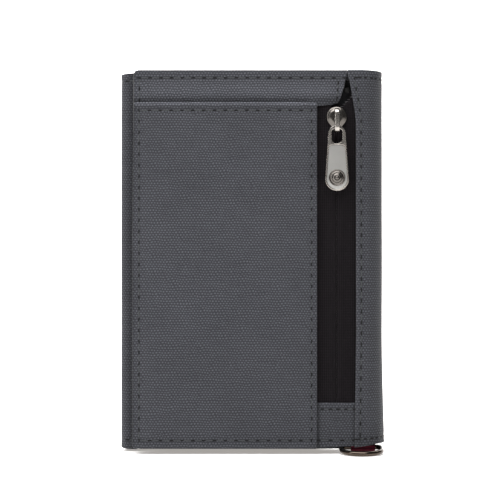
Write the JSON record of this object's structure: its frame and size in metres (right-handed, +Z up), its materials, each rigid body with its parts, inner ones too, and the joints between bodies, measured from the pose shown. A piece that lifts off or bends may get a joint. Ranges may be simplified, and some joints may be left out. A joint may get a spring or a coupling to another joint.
{
  "type": "bifold wallet",
  "caption": "Upright fabric bifold wallet with a slip pocket, a zipped coin pocket with a metal pull, card slots inside and a D-ring at the spine's foot.",
  "frame": {"origin": "centre of the bounding box's footprint at the standing edge, the D-ring and the pull included", "axes": "+X from the open edge to the spine, +Y from the back leaf with the zip to the front leaf, +Z up along the spine"},
  "size_m": [0.0876, 0.0226, 0.127],
  "materials": {
    "fabric_grey": "matte plain-weave polyester",
    "zip_tape": "matte ribbed tape",
    "zip_coil": "satin nylon coil",
    "zip_metal": "polished nickel plate with a brushed panel",
    "ring_metal": "polished gunmetal plate",
    "webbing": "matte ribbed webbing",
    "lining": "matte smooth lining",
    "padding": "matte foam",
    "card_panel": "matte plain weave",
    "clear_window": "clear film"
  },
  "bodies": {
    "back": {"slip_pocket_panel": "fabric_grey", "pocket_back_wall": "fabric_grey", "bottom_band": "fabric_grey", "zip_side_strip": "fabric_grey", "zip_tape_left": "zip_tape", "zip_tape_right": "zip_tape", "zip_coil_left": "zip_coil", "zip_coil_right": "zip_coil", "zip_top_stop_left": "zip_metal", "zip_top_stop_right": "zip_metal", "zip_bottom_stop": "zip_metal", "back_seam_frame": "fabric_grey", "coin_pocket_lining": "lining", "back_interlining": "padding", "back_lining": "lining", "back_card_base": "card_panel", "back_card_slot_1": "card_panel", "back_card_slot_2": "card_panel", "back_card_slot_3": "card_panel", "ring_webbing": "webbing"},
    "spine_a": {"spine_shell_a": "fabric_grey", "spine_lining_a": "lining"},
    "spine_b": {"spine_shell_b": "fabric_grey", "spine_lining_b": "lining"},
    "spine_c": {"spine_shell_c": "fabric_grey", "spine_lining_c": "lining"},
    "front": {"front_shell": "fabric_grey", "front_edge_fold": "fabric_grey", "front_padding": "padding", "front_lining": "lining", "front_divider": "lining", "front_card_base": "card_panel", "front_card_slot_1": "card_panel", "front_card_slot_2": "card_panel", "front_card_slot_3": "card_panel", "id_window_frame": "card_panel", "id_window": "clear_window"},
    "zip_slider": {"slider_body": "zip_metal", "slider_bail": "zip_metal"},
    "pull_tab": {"pull_tab": "zip_metal", "tab_medallion": "zip_metal"},
    "ring": {"d_ring": "ring_metal"}
  },
  "joints": [
    {"name": "spine_fold_a", "type": "hinge", "parent": "back", "child": "spine_a", "pos_m": [0.03904, -0.00474, 0.0635], "axis": [0, 0, -1], "range_deg": [0, 45]},
    {"name": "spine_fold_b", "type": "hinge", "parent": "spine_a", "child": "spine_b", "pos_m": [0.04372, -0.00006, 0.0635], "axis": [0, 0, -1], "range_deg": [0, 45]},
    {"name": "spine_fold_c", "type": "hinge", "parent": "spine_b", "child": "spine_c", "pos_m": [0.04372, 0.00657, 0.0635], "axis": [0, 0, -1], "range_deg": [0, 45]},
    {"name": "cover_open", "type": "hinge", "parent": "spine_c", "child": "front", "pos_m": [0.03904, 0.01126, 0.0635], "axis": [0, 0, -1], "range_deg": [0, 45]},
    {"name": "zip_slide", "type": "slide", "parent": "back", "child": "zip_slider", "axis": [0, 0, 1], "range_m": [-0.084, 0]},
    {"name": "pull_tab_flip", "type": "hinge", "parent": "zip_slider", "child": "pull_tab", "pos_m": [0.02823, -0.00574, 0.10795], "axis": [-1, 0, 0], "range_deg": [0, 150]},
    {"name": "ring_swing", "type": "hinge", "parent": "back", "child": "ring", "pos_m": [0.03642, 0.00151, 0.00175], "axis": [1, 0, 0], "range_deg": [0, 150]}
  ],
  "couplings": [
    {"joint": "spine_fold_a", "follows": "cover_open", "ratio": 1},
    {"joint": "spine_fold_b", "follows": "cover_open", "ratio": 1},
    {"joint": "spine_fold_c", "follows": "cover_open", "ratio": 1}
  ]
}
